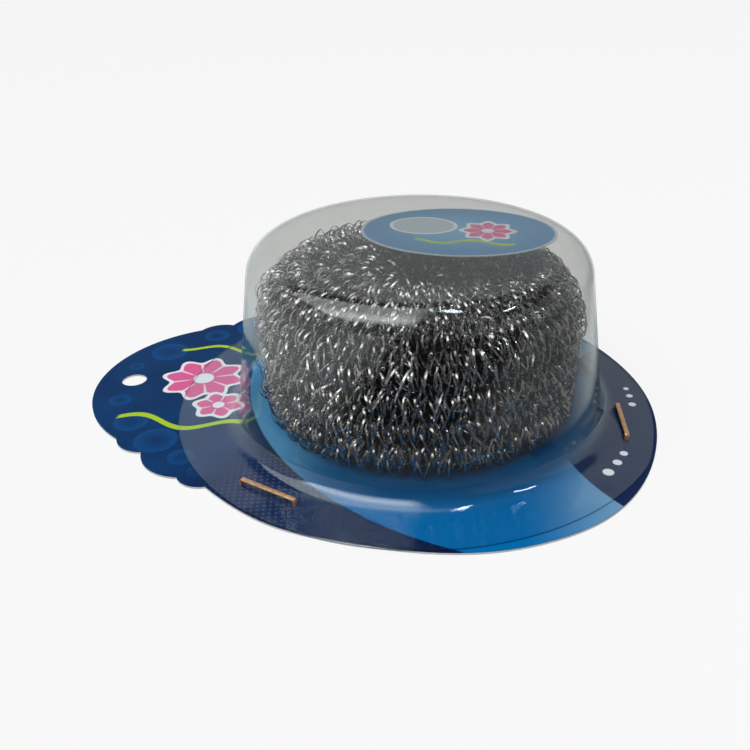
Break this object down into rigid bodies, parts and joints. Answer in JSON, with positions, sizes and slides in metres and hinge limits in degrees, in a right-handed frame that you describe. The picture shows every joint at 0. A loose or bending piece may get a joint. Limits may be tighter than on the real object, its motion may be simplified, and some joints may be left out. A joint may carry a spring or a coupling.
{
  "type": "pot scourer in a blister pack",
  "caption": "Round curled-steel pot scourer under a clear domed blister, stapled to a printed hang card with a scalloped header and a hang hole.",
  "frame": {"origin": "on the dome's axis, at the back face of the card", "axes": "+Z out of the card's front, along the dome's axis; the header and its hang hole lie towards -X"},
  "size_m": [0.1231, 0.1032, 0.0365],
  "materials": {
    "printed_card": "satin",
    "clear_sheet": "gloss",
    "label_print": "satin",
    "coppered_wire": "satin",
    "curled_steel": "satin"
  },
  "bodies": {
    "card": {"backing_card": "printed_card"},
    "blister": {"blister": "clear_sheet", "top_label": "label_print", "staple_front": "coppered_wire", "staple_right": "coppered_wire", "staple_rear": "coppered_wire"},
    "scourer": {"scourer_pad": "curled_steel"}
  },
  "joints": [
    {"name": "blister_lift", "type": "slide", "parent": "card", "child": "blister", "axis": [0, 0, 1], "range_m": [0, 0.06]},
    {"name": "scourer_turn", "type": "hinge", "parent": "card", "child": "scourer", "pos_m": [0, 0, 0.0009], "axis": [0, 0, 1], "continuous": true}
  ]
}
